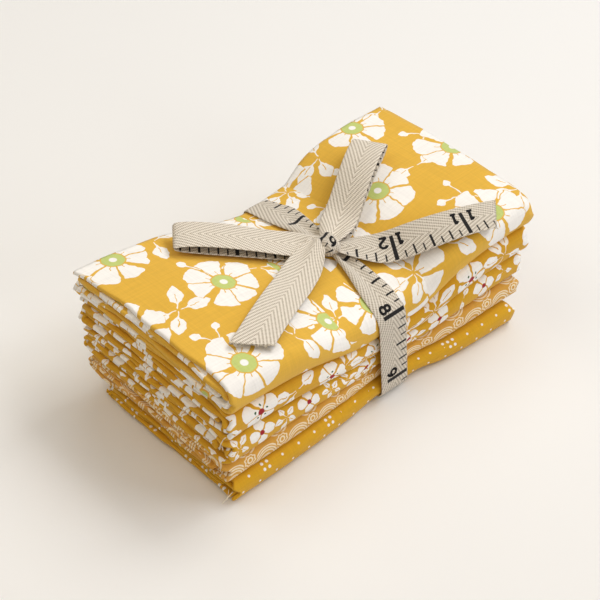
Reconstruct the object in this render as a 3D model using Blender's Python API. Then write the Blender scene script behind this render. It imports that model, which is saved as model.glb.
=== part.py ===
"""Fat quarter bundle: five folded quilting cottons in a stack, tied round the
middle with a flat cotton tape in a bow.

Sizes below are in millimetres and the meshes are made in metres, +Z up.
X runs along the bundle, Y from its near folds to its far, raw side, and the
bundle lies on z = 0. Each cotton is one closed solid: a section of six
folded levels, a little apart, carried along X and pressed in at the waist.
"""
import math

import bpy
import numpy as np

MM = 0.001

# Where the middle of the finished bundle's box lies in the drawing's X and Y
DRAWN_MIDDLE = (0.1, -2.06, 0.0)

# The tape and the waist that it pulls into the stack
TAPE_WIDTH = 12.7
TAPE_THICK = 1.0
TAPE_X = 5.2
TAPE_SKEW = 0.065
WAIST_HALF_FLAT = 8.8
WAIST_REACH_LEFT = 34.0
WAIST_REACH_RIGHT = 18.0
WAIST_PULL_IN = 0.085

# Height of the stack's top: at its ends, at the waist, and its fall to each side
END_TOP = 49.4
WAIST_TOP = 40.6
END_EDGE_DROP = 1.6
WAIST_NEAR_DROP = 7.0
WAIST_FAR_DROP = 4.5
HALF_WIDTH = 38.0

# Soft swelling of the stack between its waist and its ends
PILLOW = 1.0
PILLOW_X = 42.0
PILLOW_REACH = 45.0

# The bottom stays on z = 0 but for a short lift over the tape under it
UNDER_TAPE_LIFT = 1.5
LIFT_RAMP = 13.0

# Space between two cottons, and between the tape and the cloth
PIECE_GAP = 0.36
TAPE_GAP = 0.3

# One row for each cotton, from the bottom up: its share of the stack's height at
# the ends and at the waist, thickness of a folded level, ends along X, sides
# along Y, slant of its ends and of its sides, and its colour
FABRICS = [
    dict(name="dot_cotton", end_share=0.172, waist_share=0.19, level=1.0,
         x_left=-71.0, x_right=61.4, y_near=-41.8, y_far=25.0,
         left_slant=-0.010, right_slant=0.0, side_slant=-0.02, colour=(0.64, 0.30, 0.02)),
    dict(name="medallion_cotton", end_share=0.176, waist_share=0.16, level=1.05,
         x_left=-72.2, x_right=66.4, y_near=-39.2, y_far=33.0,
         left_slant=0.012, right_slant=0.012, side_slant=-0.008, colour=(0.80, 0.47, 0.14)),
    dict(name="sprig_cotton", end_share=0.196, waist_share=0.165, level=1.15,
         x_left=-72.0, x_right=68.0, y_near=-38.8, y_far=35.5,
         left_slant=0.0, right_slant=0.02, side_slant=0.004, colour=(0.78, 0.60, 0.35)),
    dict(name="leaf_cotton", end_share=0.226, waist_share=0.18, level=1.25,
         x_left=-71.4, x_right=70.0, y_near=-38.6, y_far=37.4,
         left_slant=0.008, right_slant=0.035, side_slant=-0.004, colour=(0.76, 0.44, 0.08)),
    dict(name="blossom_cotton", end_share=0.23, waist_share=0.305, level=1.3,
         x_left=-71.2, x_right=71.4, y_near=-38.2, y_far=38.8,
         left_slant=-0.006, right_slant=0.04, side_slant=0.0, colour=(0.82, 0.47, 0.08)),
]
LEVELS = 6
COTTON_ROUGHNESS = 0.9

# Lattice lines that every cotton shares, so that neighbours keep their gap
X_STATIONS = (-56.0, -40.0, -26.0, -14.0, TAPE_X - WAIST_HALF_FLAT,
              TAPE_X + WAIST_HALF_FLAT, 22.0, 33.0, 50.0)
Y_STATIONS = (-26.0, -11.0, 4.0, 19.0)

# Turns of the folded path: depth along Y as a share of the cotton's height, how
# far the small near turn lies back, squareness, and points on a wide turn
NEAR_WRAP_SHARE = 0.4
FAR_TURN_SHARE = 0.24
SMALL_TURN_BACK = 6.5
TURN_SQUARENESS = 2.5
WRAP_POINTS = 7
TURN_POINTS = 5
SMALL_TURN_POINTS = 3
LAYER_GAP = 0.4
RAW_EDGE_BACK = (0.4, 2.4)

# Ends along X: their rounding, and how much one folded level stands past another
END_ROUND = 0.6
END_ROUND_SHARE = 0.5
END_STEP = 0.7
STEP_PER_LEVEL = 2.3
STEP_PER_ROW = 1.7

# The slant of a side starts at this distance from the middle, over this much cloth
SIDE_SLANT_FROM = 26.0
SIDE_SLANT_OVER = 6.0


def waist(x):
    """Share of the waist at x: 1 under the tape, falling away to both ends."""
    away = np.maximum(np.abs(x - TAPE_X) - WAIST_HALF_FLAT, 0.0)
    reach = np.where(x < TAPE_X, WAIST_REACH_LEFT, WAIST_REACH_RIGHT)
    return 1.0 / (1.0 + (away / reach) ** 2) ** 1.5


def bottom_of_stack(x):
    """Lift of the underside over the tape: a ramp to each side, then flat."""
    away = np.maximum(np.abs(x - TAPE_X) - WAIST_HALF_FLAT, 0.0)
    ramp = np.clip(1.0 - away / LIFT_RAMP, 0.0, 1.0)
    return UNDER_TAPE_LIFT * ramp * ramp * (3.0 - 2.0 * ramp)


def top_of_stack(x, y):
    """Height of the stack: a pillow to each side of the waist, lower at its edges."""
    w = waist(x)
    away = np.clip((np.abs(x) - PILLOW_X) / PILLOW_REACH, -1.0, 1.0)
    pillow = PILLOW * np.cos(away * math.pi / 2)
    edge = (np.abs(y) / HALF_WIDTH) ** 2
    waist_drop = np.where(y < 0, WAIST_NEAR_DROP, WAIST_FAR_DROP)
    height = END_TOP * (1 - w) + WAIST_TOP * w + pillow * (1 - w)
    return height - edge * (END_EDGE_DROP * (1 - w) + waist_drop * w)


def share_below(row, x):
    """Share of the stack's height that lies below the cotton with this row number."""
    w = waist(x)
    end = sum(f["end_share"] for f in FABRICS[:row])
    mid = sum(f["waist_share"] for f in FABRICS[:row])
    return end * (1 - w) + mid * w


def seam_height(row, x, y):
    """Height of the surface between two neighbouring cottons."""
    low = bottom_of_stack(x)
    return low + share_below(row, x) * (top_of_stack(x, y) - low)


def turn(tip_y, depth, centre_z, half_height, toward, count):
    """Half a superellipse that bulges along Y to its tip: one turn of the cloth."""
    angle = np.linspace(math.pi / 2, -math.pi / 2, count)
    power = 2.0 / TURN_SQUARENESS
    y = tip_y - toward * depth + toward * depth * np.cos(angle).clip(0) ** power
    z = centre_z + half_height * np.sign(np.sin(angle)) * np.abs(np.sin(angle)) ** power
    return np.stack([y, z], axis=1)


def folded_path(fabric, height):
    """Middle line of the folded cloth as rows of y, z and level number.

    It runs along level 1 to the near side, round the outside to level 6, back at
    the far side to level 3, round two small turns to levels 4 and 5, and round
    the near side, inside the outer turn, to level 2.
    """
    thick = fabric["level"]
    pitch = (height - thick) / (LEVELS - 1)
    near = fabric["y_near"] + thick / 2
    far = fabric["y_far"] - thick / 2
    step = thick + LAYER_GAP

    def z(level):
        return height - thick / 2 - (level - 1) * pitch

    wrap = NEAR_WRAP_SHARE * height
    outer = turn(near, wrap, z(3.5), 2.5 * pitch, -1, WRAP_POINTS)
    middle = turn(near + step, wrap - 0.5 * step, z(3.5), 1.5 * pitch, -1, TURN_POINTS)
    small = turn(near + SMALL_TURN_BACK, 0.5 * pitch, z(3.5), 0.5 * pitch, -1, SMALL_TURN_POINTS)
    back = turn(far, FAR_TURN_SHARE * height, z(4.5), 1.5 * pitch, 1, TURN_POINTS)
    back_small = turn(far - step, 0.5 * pitch, z(4.5), 0.5 * pitch, 1, SMALL_TURN_POINTS)

    def run(level, rising):
        stations = np.array(Y_STATIONS if rising else Y_STATIONS[::-1])
        return np.stack([stations, np.full(len(stations), z(level))], axis=1)

    far_1 = fabric["y_far"] - RAW_EDGE_BACK[0]
    far_2 = fabric["y_far"] - RAW_EDGE_BACK[1]
    path = np.concatenate([
        [[far_1, z(1)]], run(1, False), outer, run(6, True), back[::-1],
        run(3, False), small, run(4, True), back_small, run(5, False),
        middle[::-1], run(2, True), [[far_2, z(2)]]])
    level = 1 + (height - thick / 2 - path[:, 1]) / pitch
    return path, level


def offset_sides(path, thick):
    """The path moved half a thickness to each side, mitred at its corners."""
    leg = np.diff(path, axis=0)
    leg /= np.linalg.norm(leg, axis=1)[:, None]
    normal = np.stack([-leg[:, 1], leg[:, 0]], axis=1)
    first, last = normal[:1], normal[-1:]
    mitre = np.concatenate([first, (normal[:-1] + normal[1:]) / 2, last])
    mitre /= np.sum(mitre * mitre, axis=1)[:, None]
    return path + mitre * thick / 2, path - mitre * thick / 2


def make_object(name, vertices, faces, colour, roughness):
    """A mesh object with one Principled material; vertices come in millimetres."""
    mesh = bpy.data.meshes.new(name)
    placed = (np.asarray(vertices) - DRAWN_MIDDLE) * MM
    mesh.from_pydata(placed.tolist(), [], [list(f) for f in faces])
    mesh.validate()
    mesh.update()
    material = bpy.data.materials.new(name)
    material.use_nodes = True
    shader = material.node_tree.nodes["Principled BSDF"]
    shader.inputs["Base Color"].default_value = (*colour, 1.0)
    shader.inputs["Roughness"].default_value = roughness
    shader.inputs["Metallic"].default_value = 0.0
    mesh.materials.append(material)
    piece = bpy.data.objects.new(name, mesh)
    bpy.context.scene.collection.objects.link(piece)
    return piece


def cotton_section(row):
    """One cotton's folded path, its level numbers, both its sides and its full height."""
    fabric = FABRICS[row]
    height = fabric["end_share"] * END_TOP - PIECE_GAP
    path, level = folded_path(fabric, height)
    one_side, other_side = offset_sides(path, fabric["level"])
    return path, level, one_side, other_side, height


def cotton_vertices(row):
    """Vertices of one cotton, station by station along X: rows of x, y, z."""
    fabric = FABRICS[row]
    path, level, one_side, other_side, height = cotton_section(row)
    rounded = path + (one_side - path) * END_ROUND_SHARE
    rounded_other = path + (other_side - path) * END_ROUND_SHARE
    full = np.concatenate([one_side, other_side[::-1]])
    slim = np.concatenate([rounded, rounded_other[::-1]])
    levels = np.concatenate([level, level[::-1]])
    step = END_STEP * np.sin(STEP_PER_LEVEL * levels + STEP_PER_ROW * row)
    left = fabric["x_left"] + END_STEP + step
    right = fabric["x_right"] - END_STEP + step
    stations = [(left, slim), (left + END_ROUND, full)]
    stations += [(np.full(len(full), x), full) for x in X_STATIONS]
    stations += [(right - END_ROUND, full), (right, slim)]
    rings = []
    for x, outline in stations:
        y = outline[:, 0]
        inner = np.abs(x - np.clip(x, X_STATIONS[0], X_STATIONS[-1])) < 1e-9
        slant = np.where(x < 0, fabric["left_slant"], fabric["right_slant"])
        x_world = np.where(inner, x, x + slant * y)
        edge = np.clip((np.abs(y) - SIDE_SLANT_FROM) / SIDE_SLANT_OVER, 0.0, 1.0)
        y_local = y + fabric["side_slant"] * x_world * edge
        y_world = y_local * (1 - WAIST_PULL_IN * waist(x_world))
        low = seam_height(row, x_world, y_local) + (PIECE_GAP / 2 if row else 0.0)
        high = seam_height(row + 1, x_world, y_local) - PIECE_GAP / 2
        z_world = low + outline[:, 1] / height * (high - low)
        rings.append(np.stack([x_world, y_world, z_world], axis=1))
    return np.array(rings)


def cotton_faces(rings):
    """Triangles of the carried section: sides with like diagonals, and two ends."""
    count, around = rings.shape[:2]
    faces = []
    for i in range(count - 1):
        for j in range(around):
            k = (j + 1) % around
            a, b = i * around + j, (i + 1) * around + j
            c, d = (i + 1) * around + k, i * around + k
            if rings[i, k, 1] > rings[i, j, 1]:
                faces += [(a, b, c), (a, c, d)]
            else:
                faces += [(a, b, d), (b, c, d)]
    half = around // 2
    for i, flip in ((0, False), (count - 1, True)):
        for j in range(half - 1):
            a, b = i * around + j, i * around + j + 1
            c, d = i * around + around - 2 - j, i * around + around - 1 - j
            quad = [(a, b, c), (a, c, d)]
            faces += [tuple(reversed(t)) for t in quad] if flip else quad
    return faces


def outward(vertices, faces):
    """The faces as given, or all turned over when they enclose a negative volume."""
    tri = np.asarray(vertices)[np.asarray(faces)]
    volume = np.einsum("ij,ij->i", tri[:, 0], np.cross(tri[:, 1], tri[:, 2])).sum()
    if volume < 0:
        return [tuple(reversed(f)) for f in faces]
    return faces


def make_cotton(row):
    """One folded cotton as a closed solid."""
    rings = cotton_vertices(row)
    vertices = rings.reshape(-1, 3)
    faces = outward(vertices, cotton_faces(rings))
    fabric = FABRICS[row]
    return make_object(fabric["name"], vertices, faces, fabric["colour"], COTTON_ROUGHNESS)


# The tape's colour, the points across it on each face, and the width that its
# gathered stretch keeps at the knot, with the share of a part's reach it takes
TAPE_COLOUR = (0.62, 0.54, 0.42)
TAPE_ROUGHNESS = 0.85
RIBBON_CROSS = 4
GATHERED_WIDTH = 0.42
GATHER_REACH = 0.28

# The knot: its middle, half sizes, rows and columns of points, and groove
KNOT_X = 5.8
KNOT_Y = -0.7
KNOT_Z = 44.2
KNOT_HALF = (5.6, 4.8, 3.4)
KNOT_ROWS = 9
KNOT_COLUMNS = 16
KNOT_GROOVE = 0.09

# How the free parts leave the knot: half the space between a loop's two roots, and
# the share of the reach over which a part comes down to lie on the cloth
ROOT_APART = 0.8
KNOT_HOLD = 0.45
LOOP_POINTS = 34
TAIL_POINTS = 18
LOOP_FULLNESS = 0.75
TAIL_CLEAR = 0.3
TILT_RATE = 1.6
CUT_BEND = 6

# The ring round the waist: least and most step between its points, and its slack
RING_SHORT_STEP = 1.2
RING_LONG_STEP = 7.0
RING_SLACK = 0.1

# One row for each free part: its tip in plan, sideways bow, rise above the cloth at
# the tip and midway, and turn about its own length in degrees. A loop also has its
# swell, and a tail the slant of its cut.
LOOPS = [
    dict(name="left_loop", tip=(-36.9, 28.6), bow=0.0, tip_lift=0.2, belly=0.3, swell=2.1, tilt=-14.0),
    dict(name="far_loop", tip=(46.6, 19.2), bow=0.0, tip_lift=1.4, belly=0.4, swell=2.2, tilt=0.0),
]
TAILS = [
    dict(name="right_tail", tip=(52.8, -34.6), bow=-3.4, tip_lift=0.6, belly=0.2, tilt=0.0, slant=6.0),
    dict(name="near_tail", tip=(-53.2, -27.4), bow=0.0, tip_lift=0.6, belly=0.3, tilt=0.0, slant=-6.0),
]


def unit(v):
    """Each row scaled to length 1."""
    return v / np.linalg.norm(v, axis=-1, keepdims=True)


def ribbon(points, side, half_width, closed=False, end_slant=0.0):
    """A flat strip with thickness along a path: vertices and faces of a closed body.

    Each cross section has its points across the width on both faces. The normal is
    the cross product of the side direction and the path's tangent.
    """
    points = np.asarray(points, dtype=float)
    count = len(points)
    if closed:
        tangent = unit(np.roll(points, -1, axis=0) - np.roll(points, 1, axis=0))
    else:
        tangent = unit(np.gradient(points, axis=0))
    if not closed:
        side = unit(side - np.sum(side * tangent, axis=1)[:, None] * tangent)
    normal = unit(np.cross(side, tangent))
    across = np.linspace(-1.0, 1.0, RIBBON_CROSS)
    along_end = np.linspace(0.0, 1.0, count) ** CUT_BEND * end_slant
    middle = (points[:, None] + side[:, None] * (across[None, :] * half_width[:, None])[..., None]
              + tangent[:, None] * (across[None, :] * along_end[:, None] / 2)[..., None])
    half = normal[:, None] * TAPE_THICK / 2
    rings = np.concatenate([middle + half, (middle - half)[:, ::-1]], axis=1)
    around = 2 * RIBBON_CROSS
    faces = []
    for i in range(count if closed else count - 1):
        n = (i + 1) % count
        for j in range(around):
            k = (j + 1) % around
            faces.append((i * around + j, n * around + j, n * around + k, i * around + k))
    if not closed:
        for i, flip in ((0, False), (count - 1, True)):
            for j in range(RIBBON_CROSS - 1):
                quad = (i * around + j, i * around + j + 1,
                        i * around + around - 2 - j, i * around + around - 1 - j)
                faces.append(tuple(reversed(quad)) if flip else quad)
    vertices = rings.reshape(-1, 3)
    triangles = [t for f in faces for t in ((f[0], f[1], f[2]), (f[0], f[2], f[3]))]
    return vertices, outward(vertices, triangles)


def convex_outline(points):
    """Corners of the convex outline of plane points, in turning order."""
    ordered = sorted(map(tuple, points))

    def chain(items):
        kept = []
        for p in items:
            while len(kept) > 1:
                (ax, ay), (bx, by) = kept[-2], kept[-1]
                if (bx - ax) * (p[1] - ay) - (by - ay) * (p[0] - ax) > 1e-9:
                    break
                kept.pop()
            kept.append(p)
        return kept[:-1]

    return np.array(chain(ordered) + chain(ordered[::-1]))


def ring_corners(outline):
    """The outline's corners a little apart, with its long sides split."""
    kept = [outline[0]]
    for corner in np.concatenate([outline[1:], outline[:1]]):
        reach = np.linalg.norm(corner - kept[-1])
        pieces = int(reach // RING_LONG_STEP) + 1
        if reach > RING_SHORT_STEP:
            kept += [kept[-1] + (corner - kept[-1]) * k / pieces for k in range(1, pieces + 1)]
    return np.array(kept[:-1])


def moved_out(loop, reach):
    """A closed outline moved outward by a reach, mitred at its corners."""
    side = unit(np.roll(loop, -1, axis=0) - loop)
    normal = np.stack([side[:, 1], -side[:, 0]], axis=1)
    mitre = (normal + np.roll(normal, 1, axis=0)) / 2
    return loop + mitre / np.sum(mitre * mitre, axis=1)[:, None] * reach


def tape_ring():
    """The band round the waist: the stack's convex outline there, moved outward."""
    corners = []
    for row in range(len(FABRICS)):
        for ring in cotton_vertices(row):
            if np.all(np.abs(ring[:, 0] - TAPE_X) < WAIST_HALF_FLAT + 0.01):
                corners.append(ring[:, 1:])
    outline = ring_corners(convex_outline(np.concatenate(corners)))
    middle = moved_out(outline, TAPE_GAP + RING_SLACK + TAPE_THICK / 2)
    points = np.column_stack([TAPE_X + TAPE_SKEW * middle[:, 0], middle])
    side = np.tile([1.0, 0.0, 0.0], (len(points), 1))
    return ribbon(points, side, np.full(len(points), TAPE_WIDTH / 2), closed=True)


def free_path(part, share):
    """Plan position and direction of a loop or tail at a share of its reach."""
    root = np.array([KNOT_X, KNOT_Y])
    reach = np.array(part["tip"]) - root
    across = unit(np.array([-reach[1], reach[0]]))
    bow = part["bow"] * np.sin(math.pi * share)
    return root + share[:, None] * reach + bow[:, None] * across, unit(reach)


def narrowed(share):
    """Half width along a free part: gathered at the knot, full past a quarter."""
    opened = np.sin(np.clip(share / GATHER_REACH, 0.0, 1.0) * math.pi / 2)
    return TAPE_WIDTH / 2 * (GATHERED_WIDTH + (1.0 - GATHERED_WIDTH) * opened)


def tilt_share(share):
    """How much of a part's own tilt holds: none at the knot, all past the middle."""
    return np.clip(share * TILT_RATE, 0.0, 1.0)


def side_on_cloth(plan, direction, tilt, share):
    """Direction across the tape: along the cloth under it, turned by the tilt at the tip."""
    flat = np.array([-direction[1], direction[0]])
    reach = TAPE_WIDTH / 2
    one, other = plan + flat * reach, plan - flat * reach
    rise = top_of_stack(one[:, 0], one[:, 1]) - top_of_stack(other[:, 0], other[:, 1])
    angle = np.arctan(rise / TAPE_WIDTH) + np.radians(tilt) * tilt_share(share)
    return np.column_stack([np.cos(angle)[:, None] * flat, np.sin(angle)])


def height_on_cloth(part, plan, share, extra):
    """Height of the tape's middle: at the knot's height, then lying along the cloth."""
    cloth = top_of_stack(plan[:, 0], plan[:, 1])
    lying = cloth + TAPE_GAP + TAPE_THICK / 2 + extra + part["tip_lift"] * share
    low_edge = TAPE_WIDTH / 2 * math.sin(math.radians(abs(part["tilt"])))
    lying = lying + part["belly"] * np.sin(math.pi * share) + low_edge * tilt_share(share)
    root = (1.0 - np.clip(share / KNOT_HOLD, 0.0, 1.0)) ** 2
    return lying * (1 - root) + KNOT_Z * root


def bow_loop(part):
    """A flattened loop: out along its upper strand, round the tip and back below."""
    turn_share = np.linspace(0.0, 1.0, LOOP_POINTS)
    share = np.sin(math.pi * turn_share) ** LOOP_FULLNESS
    plan, direction = free_path(part, share)
    swell = part["swell"] * (1 + np.sin(2 * math.pi * turn_share))
    apart = ROOT_APART * np.cos(math.pi * turn_share) * (1 - share)
    z = height_on_cloth(part, plan, share, swell) + apart
    side = side_on_cloth(plan, direction, part["tilt"], share)
    return ribbon(np.column_stack([plan, z]), side, narrowed(share))


def bow_tail(part):
    """A free end from the knot to its slanting cut."""
    share = np.linspace(0.0, 1.0, TAIL_POINTS)
    plan, direction = free_path(part, share)
    z = height_on_cloth(part, plan, share, TAIL_CLEAR)
    side = side_on_cloth(plan, direction, part["tilt"], share)
    return ribbon(np.column_stack([plan, z]), side, narrowed(share), end_slant=part["slant"])


def knot_body():
    """The knot: an egg with a shallow groove on each side of its crossing band."""
    columns = KNOT_COLUMNS
    vertices = [(0.0, 0.0, -1.0)]
    for i in range(1, KNOT_ROWS):
        lift = math.pi * i / KNOT_ROWS - math.pi / 2
        for j in range(columns):
            turn_angle = 2 * math.pi * j / columns
            swell = 1.0 + KNOT_GROOVE * math.cos(4 * turn_angle) * math.cos(lift)
            vertices.append((swell * math.cos(lift) * math.cos(turn_angle),
                             swell * math.cos(lift) * math.sin(turn_angle), math.sin(lift)))
    vertices.append((0.0, 0.0, 1.0))
    top = len(vertices) - 1
    last = 1 + (KNOT_ROWS - 2) * columns
    faces = []
    for j in range(columns):
        k = (j + 1) % columns
        faces.append((0, 1 + k, 1 + j))
        faces.append((top, last + j, last + k))
        for i in range(KNOT_ROWS - 2):
            a, b = 1 + i * columns + j, 1 + i * columns + k
            c, d = b + columns, a + columns
            faces += [(a, b, c), (a, c, d)]
    points = np.array(vertices) * np.array(KNOT_HALF) + np.array([KNOT_X, KNOT_Y, KNOT_Z])
    return points, outward(points, faces)


def make_tape():
    """The tie as one solid: the ring with the knot, two loops and two tails joined on."""
    piece = make_object("tape_tie", *tape_ring(), TAPE_COLOUR, TAPE_ROUGHNESS)
    joined = [knot_body()] + [bow_loop(p) for p in LOOPS] + [bow_tail(p) for p in TAILS]
    for number, (vertices, faces) in enumerate(joined):
        helper = make_object(f"tape_part_{number}", vertices, faces, TAPE_COLOUR, TAPE_ROUGHNESS)
        union = piece.modifiers.new(f"join_{number}", "BOOLEAN")
        union.operation = "UNION"
        union.solver = "EXACT"
        union.object = helper
        helper.hide_render = True
        helper.display_type = "WIRE"
    return piece


def build():
    """Clears the scene, then makes the cottons from the bottom up, then the tie."""
    for old in list(bpy.data.objects):
        bpy.data.objects.remove(old, do_unlink=True)
    for row in range(len(FABRICS)):
        make_cotton(row)
    make_tape()


build()
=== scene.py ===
import math

import bmesh
import bpy
import numpy as np
from mathutils import Matrix, Vector


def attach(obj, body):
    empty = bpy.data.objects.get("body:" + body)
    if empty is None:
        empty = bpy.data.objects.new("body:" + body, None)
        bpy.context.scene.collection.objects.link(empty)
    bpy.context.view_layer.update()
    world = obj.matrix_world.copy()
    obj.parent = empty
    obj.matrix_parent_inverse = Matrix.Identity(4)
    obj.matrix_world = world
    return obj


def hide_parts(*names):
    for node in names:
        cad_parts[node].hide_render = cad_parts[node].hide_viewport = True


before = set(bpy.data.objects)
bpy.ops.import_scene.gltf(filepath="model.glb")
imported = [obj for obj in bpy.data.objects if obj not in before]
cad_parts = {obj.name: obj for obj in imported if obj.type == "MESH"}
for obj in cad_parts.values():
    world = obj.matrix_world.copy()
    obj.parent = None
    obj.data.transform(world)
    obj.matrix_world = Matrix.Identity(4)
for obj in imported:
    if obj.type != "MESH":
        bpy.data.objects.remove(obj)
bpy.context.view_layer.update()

MM = 0.001
DRAWN_MIDDLE = np.array([0.1, -2.06, 0.0])

# The view: a camera beyond the bundle's near left corner, looking down on it, with
# the near folds to the right and the folded ends to the left.
VIEW_TURN = -45.5
VIEW_HEIGHT = 41.0
VIEW_ROLL = 2.5
VIEW_DISTANCE = 532.0
VIEW_ASIDE = -3.0
VIEW_ABOVE = 14.0
LENS = 90.0
turn, height, roll = (math.radians(a) for a in (VIEW_TURN, VIEW_HEIGHT, VIEW_ROLL))
back = Vector((math.sin(turn) * math.cos(height), -math.cos(turn) * math.cos(height), math.sin(height)))
level_right = Vector((math.cos(turn), math.sin(turn), 0.0))
level_up = back.cross(level_right)
right = level_right * math.cos(roll) + level_up * math.sin(roll)
up = level_up * math.cos(roll) - level_right * math.sin(roll)
stand = back * VIEW_DISTANCE + right * VIEW_ASIDE + up * VIEW_ABOVE - Vector(DRAWN_MIDDLE)
camera = bpy.data.objects.new("camera", bpy.data.cameras.new("camera"))
camera.data.lens = LENS
camera.data.clip_start = 0.01
camera.matrix_world = Matrix.Translation(stand * MM) @ Matrix((right, up, back)).transposed().to_4x4()
bpy.context.scene.collection.objects.link(camera)
bpy.context.scene.camera = camera


def srgb(code):
    """Linear RGBA of a colour written as sRGB hex: each channel by the sRGB curve."""
    channels = [int(code[i:i + 2], 16) / 255 for i in (1, 3, 5)]
    return (*[c / 12.92 if c <= 0.04045 else ((c + 0.055) / 1.055) ** 2.4 for c in channels], 1.0)


def add(tree, kind, *inputs, out=0, **settings):
    """Adds one shader node. A math node's kind has its operation after it. Inputs are values or
    sockets in the node's own order, and None leaves one as it is."""
    kind, *operation = kind.split()
    node = tree.nodes.new("ShaderNode" + kind)
    if operation:
        node.operation = operation[0]
    for name, value in settings.items():
        setattr(node, name, value)
    for socket, value in zip(node.inputs, inputs):
        if isinstance(value, bpy.types.NodeSocket):
            tree.links.new(value, socket)
        elif value is not None:
            socket.default_value = value
    return node.outputs[out]


def new_material(name, roughness):
    """A material with one Principled shader: returns it, its node tree and the shader."""
    material = bpy.data.materials.new(name)
    material.use_nodes = True
    shader = material.node_tree.nodes["Principled BSDF"]
    shader.inputs["Roughness"].default_value = roughness
    shader.inputs["Specular IOR Level"].default_value = 0.25
    return material, material.node_tree, shader


# The floor and the light: a pale matt board under six soft lamps in a ring. The strongest
# stands to the right, so the left ends lie in soft warm shade.
FLOOR_HALF = 3.0
FLOOR_TOP = -0.0002
floor_mesh = bpy.data.meshes.new("floor")
corners = [(x * FLOOR_HALF, y * FLOOR_HALF, FLOOR_TOP) for x, y in ((-1, -1), (1, -1), (1, 1), (-1, 1))]
floor_mesh.from_pydata(corners, [], [(0, 1, 2, 3)])
floor = bpy.data.objects.new("floor", floor_mesh)
bpy.context.scene.collection.objects.link(floor)
board, tree, board_shader = new_material("matt_board", 0.7)
board_shader.inputs["Base Color"].default_value = srgb("#F3F3F2")
floor_mesh.materials.append(board)

world = bpy.data.worlds.new("studio")
bpy.context.scene.world = world
world.use_nodes = True
sky = world.node_tree.nodes["Background"]
sky.inputs["Color"].default_value = srgb("#FFE3B8")
sky.inputs["Strength"].default_value = 0.05
bpy.context.scene.view_settings.view_transform = "Standard"

# Each lamp: its turn from +X round the bundle and its height from the floor, both in degrees,
# then its distance in metres, its power in watts and its colour
LAMP_SIZE = 0.6
LAMPS = [
    ("right_key", 0, 52, 1.3, 6.7, "#FFFDFA"),
    ("near_right", -45, 52, 1.3, 5.0, "#FAFBFF"),
    ("far_left", 135, 52, 0.75, 1.75, "#FFF9EE"),
    ("near_low", -90, 25, 1.3, 2.9, "#FAFBFF"),
    ("near_left", 225, 52, 1.3, 2.1, "#FFE3BA"),
    ("far_right", 45, 52, 1.3, 2.4, "#FFFDFA"),
]
for name, turn, height, away, power, colour in LAMPS:
    light = bpy.data.lights.new(name, "AREA")
    light.size = LAMP_SIZE
    light.energy = power
    light.color = srgb(colour)[:3]
    turn, height = math.radians(turn), math.radians(height)
    aim = Vector((math.cos(height) * math.cos(turn), math.cos(height) * math.sin(turn), math.sin(height)))
    holder = bpy.data.objects.new(name, light)
    holder.location = aim * away
    holder.rotation_euler = aim.to_track_quat("Z", "Y").to_euler()
    bpy.context.scene.collection.objects.link(holder)

# The stack: five cuts of quilting cotton, each folded flat by hand. The tape pulls the
# stack in at its waist, so every seam between two cottons dips there.
TAPE_X = 5.2
TAPE_SKEW = 0.065
WAIST_HALF_FLAT = 8.8
WAIST_REACH_LEFT = 34.0
WAIST_REACH_RIGHT = 18.0
WAIST_PULL_IN = 0.085
END_TOP = 49.4
WAIST_TOP = 40.6
END_EDGE_DROP = 1.6
WAIST_NEAR_DROP = 7.0
WAIST_FAR_DROP = 4.5
HALF_WIDTH = 38.0
PILLOW = 1.0
PILLOW_X = 42.0
PILLOW_REACH = 45.0
UNDER_TAPE_LIFT = 1.5
LIFT_RAMP = 13.0
PIECE_GAP = 0.36
FLOOR_CLEAR = 0.2
RIPPLE = 0.3

# One row for each cotton, from the bottom up, with the sizes that its solid has
COTTON_SIZES = ("name", "end_share", "waist_share", "level", "x_left", "x_right", "y_near", "y_far",
                "left_slant", "right_slant", "side_slant")
COTTONS = [dict(zip(COTTON_SIZES, row)) for row in (
    ("dot_cotton", 0.172, 0.19, 1.0, -71.0, 61.4, -41.8, 25.0, -0.010, 0.0, -0.02),
    ("medallion_cotton", 0.176, 0.16, 1.05, -72.2, 66.4, -39.2, 33.0, 0.012, 0.012, -0.008),
    ("sprig_cotton", 0.196, 0.165, 1.15, -72.0, 68.0, -38.8, 35.5, 0.0, 0.02, 0.004),
    ("leaf_cotton", 0.226, 0.18, 1.25, -71.4, 70.0, -38.6, 37.4, 0.008, 0.035, -0.004),
    ("blossom_cotton", 0.23, 0.305, 1.3, -71.2, 71.4, -38.2, 38.8, -0.006, 0.04, 0.0),
)]


def waist(x):
    """Share of the waist at x: 1 under the tape, falling away to both ends."""
    away = np.maximum(np.abs(x - TAPE_X) - WAIST_HALF_FLAT, 0.0)
    reach = np.where(x < TAPE_X, WAIST_REACH_LEFT, WAIST_REACH_RIGHT)
    return 1.0 / (1.0 + (away / reach) ** 2) ** 1.5


def bottom_of_stack(x):
    """Lift of the underside over the tape: a smooth ramp to each side, then flat."""
    away = np.maximum(np.abs(x - TAPE_X) - WAIST_HALF_FLAT, 0.0)
    ramp = np.clip(1.0 - away / LIFT_RAMP, 0.0, 1.0)
    return UNDER_TAPE_LIFT * ramp * ramp * (3.0 - 2.0 * ramp)


def ripple(seam, x, y):
    """Soft unevenness of a seam: three long sine waves, quiet under the tape and at the floor."""
    wave = np.sin(x / 17.0 + 1.3 * seam) * np.cos(y / 15.0 + seam)
    wave = wave + 0.6 * np.sin((x + 1.6 * y) / 11.0 + 2.1 * seam)
    wave += 0.35 * np.sin((x - 0.8 * y) / 6.5 + 0.7 * seam)
    return RIPPLE * wave * (1.0 - waist(x)) * min(seam, 1)


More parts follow.
